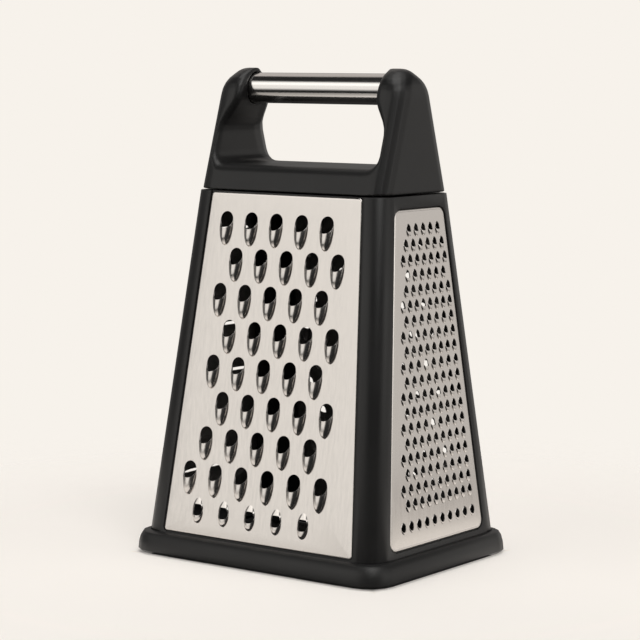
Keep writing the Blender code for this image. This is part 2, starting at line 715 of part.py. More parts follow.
def pad_rows():
    """Centres of the four foot pads, in the middle of the ring's front and back underside."""
    inner = frame_half_y(PAD_STAND) - FRAME_WALL - RING_INNER_REACH
    outer = BASE_HALF_Y - RING_CHAMFER
    return corners_of(PAD_CENTRE_X, (inner + outer) / 2)


def pad_loft(low, high, grow, x, y):
    half_length = PAD_HALF_LENGTH + grow
    half_width = PAD_HALF_WIDTH + grow
    return loft([ring_points(half_length, half_width, half_width * NEARLY_ROUND, z, centre=(x, y))
                 for z in (low, high)])


def make_base_ring(material):
    ring = add_object("base_ring", loft(base_profile(), closed=True), PARTS, material)
    screws = corners_of(*base_screw_place())
    low, high = PAD_STAND + LUG_INSET, RING_FLOOR_TOP - LUG_INSET
    lugs = [add_cutter("lug", cylinder(BASE_LUG_RADIUS, low, high, x, y)) for x, y in screws]
    apply_boolean(ring, lugs, "UNION")
    cuts = []
    for x, y in screws:
        hole = cylinder(SCREW_SHAFT_RADIUS + FIT_GAP, PAD_STAND - OVERCUT, FRAME_BOTTOM + OVERCUT, x, y)
        cuts.append(add_cutter("screw_hole", hole))
        head_top = base_screw_head_top() + FIT_GAP
        cuts.append(add_cutter("head_recess", cylinder(
            SCREW_HEAD_RADIUS + FIT_GAP, PAD_STAND - OVERCUT, head_top, x, y)))
    for x, y in pad_rows():
        recess = pad_loft(PAD_STAND - OVERCUT, PAD_THICKNESS + FIT_GAP, FIT_GAP, x, y)
        cuts.append(add_cutter("pad_recess", recess))
    apply_boolean(ring, cuts, "DIFFERENCE")
    shade(ring)


def make_pads(material):
    for number, (x, y) in enumerate(pad_rows(), 1):
        pad = add_object("foot_pad_%d" % number, pad_loft(0.0, PAD_THICKNESS, 0.0, x, y), PARTS, material)
        shade(pad)


# Handle housing

def flank_line():
    """The housing's side flank in the YZ plane: half depth at the seam, lean, and centre of its round top.

    The round top has its crest at the full height, and the flank is the line from the seam that touches it.
    """
    start_y = FRAME_HALF_Y_TOP - HOUSING_INSET
    centre_z = HEIGHT - SIDE_ROUND_RADIUS
    rise = centre_z - HOUSING_BOTTOM
    distance = math.hypot(start_y, rise)
    lean = math.atan2(start_y, rise) - math.asin(SIDE_ROUND_RADIUS / distance)
    return start_y, lean, centre_z


def housing_half_y(z):
    start_y, lean, centre_z = flank_line()
    touch_z = centre_z + SIDE_ROUND_RADIUS * math.sin(lean)
    if z < touch_z:
        return start_y - (z - HOUSING_BOTTOM) * math.tan(lean)
    return math.sqrt(max(SIDE_ROUND_RADIUS ** 2 - (z - centre_z) ** 2, 0.0))


def housing_half_x(z):
    if z < SHOULDER_START:
        return HOUSING_HALF_X
    share = (z - SHOULDER_START) / SHOULDER_HEIGHT
    return HOUSING_HALF_X - SHOULDER_REACH * (1.0 - math.sqrt(max(1.0 - share * share, 0.0)))


def housing_ring(z, inset=0.0):
    half_x = housing_half_x(z) - inset
    half_y = max(housing_half_y(z) - inset, CREST_HALF_Y)
    radius = min(FRAME_RADIUS - HOUSING_INSET - inset, half_y * NEARLY_ROUND)
    return ring_points(half_x, half_y, radius, z)


def housing_levels():
    """Heights of the housing's rings: few on the straight flank, then closer over the shoulders."""
    levels = [HOUSING_BOTTOM, HOUSING_FLOOR, SHOULDER_START]
    for step in range(1, SHOULDER_STEPS + 1):
        angle = math.pi / 2 * step / SHOULDER_STEPS
        levels.append(SHOULDER_START + SHOULDER_HEIGHT * math.sin(angle))
    return levels


def opening_edge():
    """The right half of the finger gap's edge in XZ, from the floor up, each point with its normal."""
    edge = []
    for step in range(FILLET_STEPS + 1):
        angle = math.pi / 2 * step / FILLET_STEPS
        normal = Vector((math.sin(angle), -math.cos(angle)))
        centre = Vector((INNER_WALL_X - FLOOR_FILLET, HOUSING_FLOOR + FLOOR_FILLET))
        edge.append((centre + FLOOR_FILLET * normal, normal))
    for step in range(NECK_STEPS + 1):
        angle = math.pi * step / NECK_STEPS
        reach = BOSS_REACH * (1.0 - math.cos(angle)) / 2
        slope = BOSS_REACH * math.pi * math.sin(angle) / (2 * NECK_LENGTH)
        z = NECK_TOP - NECK_LENGTH * (1.0 - step / NECK_STEPS)
        edge.append((Vector((INNER_WALL_X - reach, z)), Vector((1.0, slope)).normalized()))
    for drop in CREST_STEPS_DOWN + (-OVERCUT,):
        edge.append((Vector((INNER_WALL_X - BOSS_REACH, HEIGHT - drop)), Vector((1.0, 0.0))))
    return edge


def rolled_ring(sign, degrees, y=None):
    """One ring of the finger gap's cutter on its rolled edge: sign is -1 at the front and 1 at the back.

    The roll grows from the floor's to the wall's as the edge turns upright, and shrinks where the plastic is thin.
    """
    angle = math.radians(degrees)
    right = []
    for place, normal in opening_edge():
        across = EDGE_ROLL
        along = EDGE_ROLL
        if sign > 0:
            across += (BACK_ROLL_ACROSS - EDGE_ROLL) * normal.x
            along += (BACK_ROLL_ALONG - EDGE_ROLL) * normal.x
        spare = housing_half_x(min(place.y, HEIGHT)) - place.x
        point = place + normal * min(across, ROLL_LIMIT * spare) * (1.0 - math.cos(angle))
        half_y = max(housing_half_y(point.y), CREST_HALF_Y)
        edge_y = sign * (half_y - min(along, ROLL_LIMIT * half_y) * (1.0 - math.sin(angle)))
        right.append(Vector((point.x, edge_y if y is None else y, point.y)))
    return right + [Vector((-point.x, point.y, point.z)) for point in reversed(right)]


def finger_opening():
    """The finger gap: a slot through the housing in Y, open at the top, that narrows below the bar's bosses."""
    depth = FRAME_HALF_Y_TOP + OVERCUT
    rings = [rolled_ring(-1, ROLL_ANGLES[-1], -depth)]
    rings += [rolled_ring(-1, degrees) for degrees in reversed(ROLL_ANGLES)]
    rings += [rolled_ring(1, degrees) for degrees in ROLL_ANGLES]
    rings.append(rolled_ring(1, ROLL_ANGLES[-1], depth))
    return add_cutter("finger_opening", loft(rings))


def make_housing(material):
    """The handle housing: a low hood over the frame's deck with two uprights that carry the bar."""
    housing = add_object("handle_housing", loft([housing_ring(z) for z in housing_levels()]), PARTS, material)
    apply_boolean(housing, [finger_opening()], "DIFFERENCE")
    bore_end = BAR_HALF_LENGTH + FIT_GAP
    bore = bar_wise(-bore_end, bore_end, BAR_RADIUS + FIT_GAP)
    mouth = [point - Vector((0.0, 0.0, OVERCUT)) for point in housing_ring(HOUSING_BOTTOM, HOUSING_WALL)]
    cavity = loft([mouth, housing_ring(HOUSING_CEILING, HOUSING_WALL)])
    apply_boolean(housing, [add_cutter("bore", bore), add_cutter("cavity", cavity)], "DIFFERENCE")
    bosses = []
    pilots = []
    seat = FRAME_TOP + FIT_GAP
    pilot_top = FRAME_TOP - DECK_THICKNESS - FIT_GAP + HOUSING_SCREW_LENGTH + PILOT_SPARE
    for x, y in corners_of(HOUSING_SCREW_X, HOUSING_SCREW_Y):
        boss = cylinder(HOUSING_BOSS_RADIUS, seat, HOUSING_CEILING + OVERLAP, x, y)
        bosses.append(add_cutter("screw_boss", boss))
        pilot = cylinder(SCREW_SHAFT_RADIUS + FIT_GAP, seat - OVERCUT, pilot_top, x, y)
        pilots.append(add_cutter("screw_pilot", pilot))
    apply_boolean(housing, bosses, "UNION")
    apply_boolean(housing, pilots, "DIFFERENCE")
    shade(housing)


# Handle bar

def make_bar(material):
    """The steel tube that is the handle, turned about its own axis."""
    place = Matrix.Translation((0.0, 0.0, BAR_AXIS_Z)) @ Matrix.Rotation(math.pi / 2, 4, "Y")
    inner = BAR_RADIUS - BAR_WALL
    profile = [(BAR_RADIUS, BAR_HALF_LENGTH), (BAR_RADIUS, -BAR_HALF_LENGTH),
               (inner, -BAR_HALF_LENGTH), (inner, BAR_HALF_LENGTH)]
    turned("handle_bar", profile, BAR_SEGMENTS, material, place, loop=True)


def make_plugs(material):
    """Plugs that close the tube's ends against the moulded housing, each with a tapered nose."""
    radius = BAR_RADIUS - BAR_WALL - FIT_GAP
    profile = [(0.0, 0.0), (radius, 0.0), (radius, -PLUG_LENGTH + PLUG_NOSE),
               (radius - PLUG_NOSE, -PLUG_LENGTH), (0.0, -PLUG_LENGTH)]
    for name, turn, x in (("bar_plug_right", math.pi / 2, BAR_HALF_LENGTH),
                          ("bar_plug_left", -math.pi / 2, -BAR_HALF_LENGTH)):
        place = Matrix.Translation((x, 0.0, BAR_AXIS_Z)) @ Matrix.Rotation(turn, 4, "Y")
        turned(name, profile, BAR_SEGMENTS, material, place)


# Screws

def make_screw(name, x, y, head_face, length, material):
    """A pan-head screw that points up, with the face under its head at a stated height."""
    shaft = SCREW_SHAFT_RADIUS
    profile = [(0.0, length), (shaft, length - SCREW_POINT), (shaft, 0.0), (SCREW_HEAD_RADIUS, 0.0),
               (SCREW_HEAD_RADIUS, -SCREW_HEAD_HEIGHT), (0.0, -SCREW_HEAD_HEIGHT)]
    turned(name, profile, SCREW_SEGMENTS, material, Matrix.Translation((x, y, head_face)))


def make_screws(material):
    for number, (x, y) in enumerate(corners_of(*base_screw_place()), 1):
        make_screw("base_screw_%d" % number, x, y, base_screw_head_top(), BASE_SCREW_LENGTH, material)
    under_deck = FRAME_TOP - DECK_THICKNESS - FIT_GAP
    for number, (x, y) in enumerate(corners_of(HOUSING_SCREW_X, HOUSING_SCREW_Y), 1):
        make_screw("housing_screw_%d" % number, x, y, under_deck, HOUSING_SCREW_LENGTH, material)


clear_scene()
PARTS, CUTTERS = make_collections()
BLACK_PLASTIC = make_material("black_plastic", (0.030, 0.030, 0.031), 0.45, 0.0)
BASE_PLASTIC = make_material("base_plastic", (0.026, 0.026, 0.027), 0.5, 0.0)
BRUSHED_SHEET = make_material("brushed_sheet", (0.66, 0.63, 0.60), 0.32, 1.0)
BAR_STEEL = make_material("bar_steel", (0.60, 0.58, 0.56), 0.2, 1.0)
PLUG_NYLON = make_material("plug_nylon", (0.55, 0.54, 0.50), 0.5, 0.0)
PAD_RUBBER = make_material("pad_rubber", (0.02, 0.02, 0.02), 0.8, 0.0)
SCREW_STEEL = make_material("screw_steel", (0.5, 0.5, 0.5), 0.3, 1.0)

make_frame(BLACK_PLASTIC)
make_plate("coarse_plate", FRONT, coarse_pattern, BRUSHED_SHEET)
make_plate("fine_plate", RIGHT, fine_pattern, BRUSHED_SHEET)
make_plate("medium_plate", BACK, medium_pattern, BRUSHED_SHEET)
make_plate("slicing_plate", LEFT, slicing_pattern, BRUSHED_SHEET)
make_base_ring(BASE_PLASTIC)
make_pads(PAD_RUBBER)
make_housing(BLACK_PLASTIC)
make_bar(BAR_STEEL)
make_plugs(PLUG_NYLON)
make_screws(SCREW_STEEL)
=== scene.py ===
"""Looks of the hand grater: fine forms, finishes, studio and camera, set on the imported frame.

Metres, +Z up. As in the frame, the coarse plate faces -Y, the fine plate +X, the medium plate +Y and the
slicing plate -X. Nothing on the grater moves, so every piece rides on the root.
"""

import math
from collections import namedtuple

import bmesh
import bpy
from mathutils import Matrix, Vector, geometry


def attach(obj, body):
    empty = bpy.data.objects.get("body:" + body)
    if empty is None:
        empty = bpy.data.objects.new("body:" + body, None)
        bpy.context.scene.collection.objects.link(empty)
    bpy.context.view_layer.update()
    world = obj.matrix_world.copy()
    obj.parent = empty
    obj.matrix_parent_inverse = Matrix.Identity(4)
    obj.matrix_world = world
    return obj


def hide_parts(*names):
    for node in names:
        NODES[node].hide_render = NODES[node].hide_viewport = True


MM = 0.001

# The frame's outline, as the CAD source states it: at its top, and as it would reach the ground
FRAME_TOP = 190.4 * MM
FRAME_HALF_X_TOP = 60.5 * MM
FRAME_HALF_Y_TOP = 32.3 * MM
FRAME_HALF_X_GROUND = 75.4 * MM
FRAME_HALF_Y_GROUND = 58.9 * MM

# Plates: how deep they lie, their heights, the widths of the posts beside them, and their corners' radius
PLATE_RECESS = 0.3 * MM
WIDE_PLATE_BOTTOM = 12.9 * MM
WIDE_PLATE_TOP = 189.9 * MM
WIDE_POST_BOTTOM = 13.59 * MM
WIDE_POST_TOP = 12.64 * MM
WIDE_PLATE_RADIUS = 2.0 * MM
SIDE_PLATE_BOTTOM = 15.2 * MM
SIDE_PLATE_TOP = 184.0 * MM
SIDE_POST_BOTTOM = 14.08 * MM
SIDE_POST_TOP = 11.39 * MM
SIDE_PLATE_RADIUS = 4.5 * MM

# One side of the grater: its quarter turns from the front, the half width of the frame there and its
# distance from the centre at the top and at the ground, and the plate's heights, posts and corner radius
Side = namedtuple("Side", "turns half_top half_ground reach_top reach_ground low high post_low post_high "
                          "radius")
FRONT = Side(0, FRAME_HALF_X_TOP, FRAME_HALF_X_GROUND, FRAME_HALF_Y_TOP, FRAME_HALF_Y_GROUND,
             WIDE_PLATE_BOTTOM, WIDE_PLATE_TOP, WIDE_POST_BOTTOM, WIDE_POST_TOP, WIDE_PLATE_RADIUS)
RIGHT = Side(1, FRAME_HALF_Y_TOP, FRAME_HALF_Y_GROUND, FRAME_HALF_X_TOP, FRAME_HALF_X_GROUND,
             SIDE_PLATE_BOTTOM, SIDE_PLATE_TOP, SIDE_POST_BOTTOM, SIDE_POST_TOP, SIDE_PLATE_RADIUS)
BACK = FRONT._replace(turns=2)
LEFT = RIGHT._replace(turns=3)

# Tooth patterns, by the same rules as in the CAD source. SMALL_SHIFT and FINE_SHIFT bring the small teeth
# and the right plate's teeth to where the photograph shows them, and FINE_EDGE is the least distance from
# a hole's centre to the right plate's rear edge.
COARSE_TOP_MARGIN = 13.6 * MM
COARSE_SIDE_MARGIN = 11.3 * MM
COARSE_ROW_PITCH = 18.5 * MM
COARSE_PITCH_TOP = 16.1 * MM
COARSE_PITCH_BOTTOM = 17.0 * MM
COARSE_SHIFT = 4.2 * MM
SMALL_BOTTOM_MARGIN = 13.0 * MM
SMALL_SIDE_MARGIN = 14.0 * MM
SMALL_ROW_GAP = 19.0 * MM
SMALL_SHIFT = -0.8 * MM
MEDIUM_TOP_MARGIN = 13.9 * MM
MEDIUM_BOTTOM_MARGIN = 11.1 * MM
MEDIUM_SIDE_MARGIN = 9.0 * MM
MEDIUM_ROW_PITCH = 15.6 * MM
MEDIUM_PITCH = 14.4 * MM
FINE_TOP_MARGIN = 10.0 * MM
FINE_ROW_PITCH = 7.6 * MM
FINE_PITCH = 6.45 * MM
FINE_TOP_SPANS = ((-0.56, 0.56), (-0.67, 0.67), (-0.775, 0.775), (-0.62, 0.62))
FINE_SPANS = ((-0.675, 0.74), (-0.775, 0.74))
FINE_SHIFT = 2.2 * MM
FINE_EDGE = 4.6 * MM
STAR_SPAN = (-0.775, 0.75)
STAR_PITCH = 7.0 * MM
STAR_BOTTOM_MARGIN = 11.0 * MM
STAR_ROW_GAP = 10.0 * MM
SLOT_TOP_MARGIN = 16.0 * MM
SLOT_BOTTOM_MARGIN = 8.0 * MM
SLOT_ROW_PITCH = 26.0 * MM
SLOT_WIDTH_SHARE = 0.70

# A tooth in millimetres about its hole's centre. The outline in the sheet reaches half to each side, top
# up and tail down; the hole reaches hole_half, hole_top and lip. A power over 1 makes an end pointed and
# one under 1 makes it square: top_power and tail_power are the outline's, hole_power the hole's upper
# end's and lip_power the lip's. The lip stands lift above the sheet, the hole's upper edge stands crown
# above it, and steps points go round.
Tooth = namedtuple("Tooth", "half top tail top_power tail_power hole_half hole_top lip hole_power "
                            "lip_power lift crown steps")
COARSE_TOOTH = Tooth(half=4.15, top=4.15, tail=13.9, top_power=1.0, tail_power=1.0,
                     hole_half=4.0, hole_top=3.95, lip=5.0, hole_power=1.0, lip_power=0.75,
                     lift=2.7, crown=0.0, steps=64)
SMALL_TOOTH = Tooth(half=3.4, top=6.5, tail=6.9, top_power=1.1, tail_power=1.0,
                    hole_half=2.95, hole_top=3.2, lip=2.8, hole_power=0.35, lip_power=0.5,
                    lift=1.6, crown=0.7, steps=52)
MEDIUM_TOOTH = Tooth(half=3.1, top=3.0, tail=9.2, top_power=1.0, tail_power=1.0,
                     hole_half=2.6, hole_top=2.2, lip=2.6, hole_power=1.0, lip_power=0.75,
                     lift=2.0, crown=0.0, steps=40)
FINE_TOOTH = Tooth(half=2.1, top=3.0, tail=4.0, top_power=1.6, tail_power=1.2,
                   hole_half=1.85, hole_top=2.7, lip=1.3, hole_power=1.4, lip_power=0.5,
                   lift=0.85, crown=0.1, steps=28)
STAR_TOOTH = Tooth(half=2.3, top=2.9, tail=3.4, top_power=1.6, tail_power=1.6,
                   hole_half=2.05, hole_top=2.5, lip=2.3, hole_power=1.5, lip_power=1.0,
                   lift=0.5, crown=0.2, steps=32)
# A slot's half width comes from its plate, and its hole is narrower by SLOT_RIM at each end
SLOT_TOOTH = Tooth(half=None, top=3.3, tail=9.0, top_power=0.3, tail_power=0.3,
                   hole_half=None, hole_top=1.3, lip=0.9, hole_power=0.25, lip_power=0.4,
                   lift=2.0, crown=0.0, steps=72)
SLOT_RIM = 0.9

# A hood's crest stays high to near its tail: it falls later with more flatness, and steeper with less fall
HOOD_FLATNESS = 5.0
HOOD_FALL = 0.8
# A place across a hood is a share of the outline's half width there, which is taken as no less than this
LEAST_HALF = 1e-6
# Rings of a tooth between its outline and its hole, as shares of the way in, and the flat collar round it
TOOTH_RINGS = (0.0, 0.05, 0.14, 0.28, 0.48, 0.72, 0.93, 1.0)
COLLAR = 0.2
# The flat sheet is filled with triangles, and none of them in a hole, to this tolerance in metres
FILL_KIND = 2
FILL_TOLERANCE = 1e-7
# The sheets' thickness, and the angle past which an edge of a tooth is sharp
SHEET = 0.6 * MM
FINE_SHEET = 0.4 * MM
TOOTH_EDGE_ANGLE = math.radians(50.0)

# Sections of the plates' borders in millimetres, from the flat sheet out: (distance from the edge, height)
PRESSED_BORDER = ((1.1, 0.0), (0.8, -0.02), (0.5, -0.08), (0.25, -0.2), (0.08, -0.36), (0.0, -0.56))
GROOVED_BORDER = ((1.9, 0.0), (1.6, -0.02), (1.35, -0.12), (1.15, -0.02), (1.0, 0.0), (0.3, -0.25),
                  (0.12, -0.36), (0.0, -0.56))
BORDER_STEPS = 6

# Moulded parts: the housing's smoothing, and the small rounded edges of the frame and the ring
HOUSING_GRID = 0.6 * MM
HOUSING_SMOOTHING = 0.5
HOUSING_ROUNDS = 9
FRAME_EDGE = 0.4 * MM
RING_EDGE = 0.5 * MM
EDGE_SEGMENTS = 2
EDGE_ANGLE = math.radians(35.0)
FLAT_ANGLE = math.radians(0.5)
MERGE_DISTANCE = 0.001 * MM

# Handle bar, a tube whose barrel has two more loops round it at BAR_LOOP
BAR_AXIS_Z = 243.45 * MM
BAR_RADIUS = 8.0 * MM
BAR_WALL = 1.0 * MM
BAR_HALF_LENGTH = 51.5 * MM
BAR_END_ROUNDING = 0.2 * MM
BAR_LOOP = 40.0 * MM
BAR_SEGMENTS = 96

# Most values of a noise lie in this range
NOISE_RANGE = (0.3, 0.7)
# Moulded plastic: it is slightly clouded in colour and gloss, and has a fine grain
PLASTIC_IOR = 1.42
PLASTIC_CLOUDS = 28.0
PLASTIC_GRAIN = 2600.0
PLASTIC_ROUGHNESS_CHANGE = 0.04
PLASTIC_GRAIN_DEPTH = 0.12 * MM
# Brushed steel: its streaks are stretched along the grain. Insides and cut edges are rougher, and their
# colour is darkened as painted shade
STEEL_STRETCH = 0.012
STEEL_STREAKS = 900.0
STEEL_FINE_STREAKS = 3200.0
STEEL_CLOUDS = 14.0
STEEL_STREAK_SHARE = 0.6
STEEL_ROUGHNESS_CHANGE = 0.05
STEEL_GRAIN_DEPTH = 0.02 * MM
# Painted shade: the colour of insides and cut edges is scaled down by this
INSIDE_PAINTED_SHADE = 0.3
INSIDE_ROUGHER = 0.35
# Rubber of the pads
RUBBER_DARK = (0.014, 0.014, 0.015)
RUBBER_LIGHT = (0.024, 0.024, 0.025)
RUBBER_CLOUDS = 60.0
RUBBER_GRAIN = 3000.0
RUBBER_ROUGHNESS = 0.79
RUBBER_ROUGHNESS_CHANGE = 0.07
RUBBER_GRAIN_STRENGTH = 0.3
RUBBER_GRAIN_DEPTH = 0.1 * MM

# The photograph's camera, fitted to the object's edges, in degrees, metres and pixels
CAMERA_AZIMUTH = 36.47
CAMERA_ELEVATION = 6.46
CAMERA_ROLL = 0.24
CAMERA_DISTANCE = 1197.93 * MM
CAMERA_TARGET = Vector((-0.91, -0.68, 122.94)) * MM
CAMERA_CLIP = (0.05, 20.0)
FOCAL_PIXELS = 2289.39
IMAGE_WIDTH = 640
SENSOR_WIDTH = 36.0

# Studio. The camera sees the backdrop's colour all round. The floor is painted and gives some light by
# itself. Where the grater covers it, out to the half widths of FLOOR_COVERED and a soft edge, it has a
# painted shadow: its paint is dark and it gives no light. It fades out between the two radii of FLOOR_FADE.
BACKDROP = (0.930, 0.888, 0.831)
FLOOR_RADIUS = 0.5
FLOOR_SEGMENTS = 96
FLOOR_PAINT = (0.745, 0.715, 0.68)
FLOOR_LIGHT = (0.335, 0.320, 0.304)
# Colour of the painted shadow under the grater
FLOOR_PAINTED_SHADOW = (0.10, 0.095, 0.09)
FLOOR_COVERED = (0.074, 0.058)
FLOOR_COVERED_SOFT = 0.006
FLOOR_FADE = (0.16, 0.42)

# What steel mirrors of the lit table: sectors between two radii, each from one angle to another in
# degrees. Their light falls from the first strength to the second between the two distances from the
# origin.
TABLE_COLOUR = (1.0, 0.945, 0.885)
TABLE_HEIGHT = 0.2 * MM
TABLE_RADII = (0.09, 0.50)
TABLE_SECTORS = ((-100.0, 4.0), (86.0, 184.0))
TABLE_STEPS = 24
TABLE_DISTANCES = (0.16, 0.38)
TABLE_STRENGTHS = (0.90, 0.42)

# Light zones of the sky in degrees: the azimuth of the middle, from the front towards the right, half the
# width, the lowest and highest elevation and the softness of the edges; then colour and level. The front
# plate mirrors the first of them, and the right plate the third.
Zone = namedtuple("Zone", "azimuth half_width low high soft colour level")
ZONES = (
    Zone(-24.5, 26.5, -6.0, 37.5, 8.0, (1.0, 0.97, 0.925), 0.97),
    Zone(-36.0, 42.0, 19.0, 37.5, 5.0, (1.0, 0.985, 0.96), 0.38),
    Zone(138.0, 56.0, -12.0, 24.0, 6.0, (1.0, 0.96, 0.915), 0.62),
    Zone(102.0, 13.0, 2.0, 40.0, 5.0, (1.0, 0.98, 0.95), 0.85),
    Zone(53.0, 9.0, 22.0, 40.0, 5.0, (1.0, 0.985, 0.96), 2.0),
    Zone(55.0, 26.0, 40.0, 62.0, 7.0, (1.0, 0.985, 0.96), 4.2),
    Zone(-138.0, 37.0, 20.0, 54.0, 4.0, (1.0, 0.93, 0.88), 0.52),
    Zone(-124.0, 50.0, -15.0, 20.0, 6.0, (1.0, 0.97, 0.93), 0.22),
    Zone(0.0, 181.0, 69.0, 95.0, 6.0, (1.0, 0.985, 0.96), 2.5),
)
AMBIENT = 0.02

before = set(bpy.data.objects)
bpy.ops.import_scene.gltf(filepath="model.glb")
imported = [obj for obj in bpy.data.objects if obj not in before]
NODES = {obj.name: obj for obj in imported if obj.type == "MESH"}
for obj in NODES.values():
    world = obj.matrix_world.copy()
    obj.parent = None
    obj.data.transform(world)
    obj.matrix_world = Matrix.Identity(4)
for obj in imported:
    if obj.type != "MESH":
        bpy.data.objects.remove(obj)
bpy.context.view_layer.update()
COLLECTION = bpy.context.scene.collection


# Objects

def dress(obj, material):
    """Give an object one material."""
    obj.data.materials.clear()
    obj.data.materials.append(material)


def add_piece(node, mesh, material):
    """Add a piece of the grater that stands for a CAD node."""
    piece = bpy.data.objects.new(node + "_skin", mesh)
    COLLECTION.objects.link(piece)
    dress(piece, material)
    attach(piece, "root")
    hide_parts(node)
    return piece


def add_stage(name, bm, material):
    """Add a piece of the studio."""
    mesh = bpy.data.meshes.new(name)
    bm.to_mesh(mesh)
    bm.free()
    obj = bpy.data.objects.new(name, mesh)
    COLLECTION.objects.link(obj)
    dress(obj, material)
    return obj


def bake(piece):
    """Turn a piece's modifiers into its own mesh."""
    bpy.context.view_layer.update()
    evaluated = piece.evaluated_get(bpy.context.evaluated_depsgraph_get())
    mesh = bpy.data.meshes.new_from_object(evaluated)
    piece.modifiers.clear()
    piece.data = mesh


def mesh_from(bm, name):
    """A smooth shaded mesh with its faces turned outwards."""
    bmesh.ops.recalc_face_normals(bm, faces=bm.faces[:])
    mesh = bpy.data.meshes.new(name)
    bm.to_mesh(mesh)
    bm.free()
    mesh.shade_smooth()
    return mesh


def bridge(bm, outer, inner):
    """Faces between two loops with the same number of vertices."""
    for index in range(len(outer)):
        after = (index + 1) % len(outer)
        bm.faces.new((outer[index], outer[after], inner[after], inner[index]))


# Materials

class ShaderTree:
    """Adds linked shader nodes to a tree. A value is a socket, or a plain number or colour."""

    def __init__(self, tree):
        self.tree = tree

    def add(self, kind, **settings):
        node = self.tree.nodes.new(kind)
        for key, value in settings.items():
            setattr(node, key, value)
        return node

    def feed(self, value, socket):
        if isinstance(value, bpy.types.NodeSocket):
            self.tree.links.new(value, socket)
        else:
            socket.default_value = value

    def math(self, operation, *values):
        node = self.add("ShaderNodeMath", operation=operation)
        for value, socket in zip(values, node.inputs):
            self.feed(value, socket)
        return node.outputs[0]

    def sum_vectors(self, first, second):
        node = self.add("ShaderNodeVectorMath", operation="ADD")
        self.feed(first, node.inputs[0])
        self.feed(second, node.inputs[1])
        return node.outputs[0]

    def scale_vector(self, vector, factor):
        node = self.add("ShaderNodeVectorMath", operation="SCALE")
        self.feed(vector, node.inputs[0])
        self.feed(factor, node.inputs["Scale"])
        return node.outputs[0]

    def remap(self, value, low, high, to_low, to_high, smooth=False):
        node = self.add("ShaderNodeMapRange", interpolation_type="SMOOTHSTEP" if smooth else "LINEAR")
        limits = {"From Min": low, "From Max": high, "To Min": to_low, "To Max": to_high}
        for name, number in limits.items():
            node.inputs[name].default_value = number
        self.feed(value, node.inputs["Value"])
        return node.outputs["Result"]

    def place(self):
        """The object's own coordinates."""
        return self.add("ShaderNodeTexCoord").outputs["Object"]

    def distance(self):
        """The distance from the object's origin."""
        node = self.add("ShaderNodeVectorMath", operation="LENGTH")
        self.feed(self.place(), node.inputs[0])
        return node.outputs["Value"]

    def noise(self, scale, detail=2.0, stretch=(1.0, 1.0, 1.0)):
        """Noise in the object's own coordinates; the stretch is per axis."""
        mapping = self.add("ShaderNodeMapping")
        mapping.inputs["Scale"].default_value = stretch
        self.feed(self.place(), mapping.inputs["Vector"])
        texture = self.add("ShaderNodeTexNoise")
        texture.inputs["Scale"].default_value = scale
        texture.inputs["Detail"].default_value = detail
        self.feed(mapping.outputs["Vector"], texture.inputs["Vector"])
        return texture.outputs["Fac"]

    def vary(self, noise, middle, change):
        """A number that follows a noise, this far to each side of its middle."""
        return self.remap(noise, *NOISE_RANGE, middle - change, middle + change)

    def mix_colour(self, factor, first, second):
        node = self.add("ShaderNodeMix", data_type="RGBA")
        self.feed(factor, node.inputs["Factor"])
        node.inputs["A"].default_value = (*first, 1.0)
        node.inputs["B"].default_value = (*second, 1.0)
        return node.outputs["Result"]

    def bump(self, height, strength, distance):
        node = self.add("ShaderNodeBump")
        node.inputs["Strength"].default_value = strength
        node.inputs["Distance"].default_value = distance
        self.feed(height, node.inputs["Height"])
        return node.outputs["Normal"]

    def light(self, colour, strength):
        """The light of a surface that glows."""
        node = self.add("ShaderNodeEmission")
        node.inputs["Color"].default_value = (*colour, 1.0)
        self.feed(strength, node.inputs["Strength"])
        return node.outputs[0]

    def background(self, colour):
        """The light of the world."""
        node = self.add("ShaderNodeBackground")
        self.feed(colour, node.inputs["Color"])
        return node.outputs[0]

    def mix_shader(self, factor, first, second):
        node = self.add("ShaderNodeMixShader")
        self.feed(factor, node.inputs["Fac"])
        self.feed(first, node.inputs[1])
        self.feed(second, node.inputs[2])
        return node.outputs[0]


def new_material(name, **constants):
    """A material with one shader; constants are values of the shader's own sockets."""
    material = bpy.data.materials.new(name)
    material.use_nodes = True
    shader = material.node_tree.nodes["Principled BSDF"]
    for key, value in constants.items():
        shader.inputs[key].default_value = value
    return material, shader, ShaderTree(material.node_tree)


def bare_material(name):
    """A material without a shader; returns it, its tree and the socket of its surface."""
    material = bpy.data.materials.new(name)
    material.use_nodes = True
    nodes = material.node_tree.nodes
    nodes.remove(nodes["Principled BSDF"])
    return material, ShaderTree(material.node_tree), nodes["Material Output"].inputs["Surface"]


def moulded_plastic(name, dark, light, roughness, grain):
    """Moulded plastic with a fine spark-eroded grain, and a slight change of colour and gloss over it."""
    material, shader, tree = new_material(name, IOR=PLASTIC_IOR)
    clouds = tree.noise(PLASTIC_CLOUDS, detail=3.0)
    tree.feed(tree.mix_colour(clouds, dark, light), shader.inputs["Base Color"])
    tree.feed(tree.vary(clouds, roughness, PLASTIC_ROUGHNESS_CHANGE), shader.inputs["Roughness"])
    tree.feed(tree.bump(tree.noise(PLASTIC_GRAIN), grain, PLASTIC_GRAIN_DEPTH), shader.inputs["Normal"])
    return material


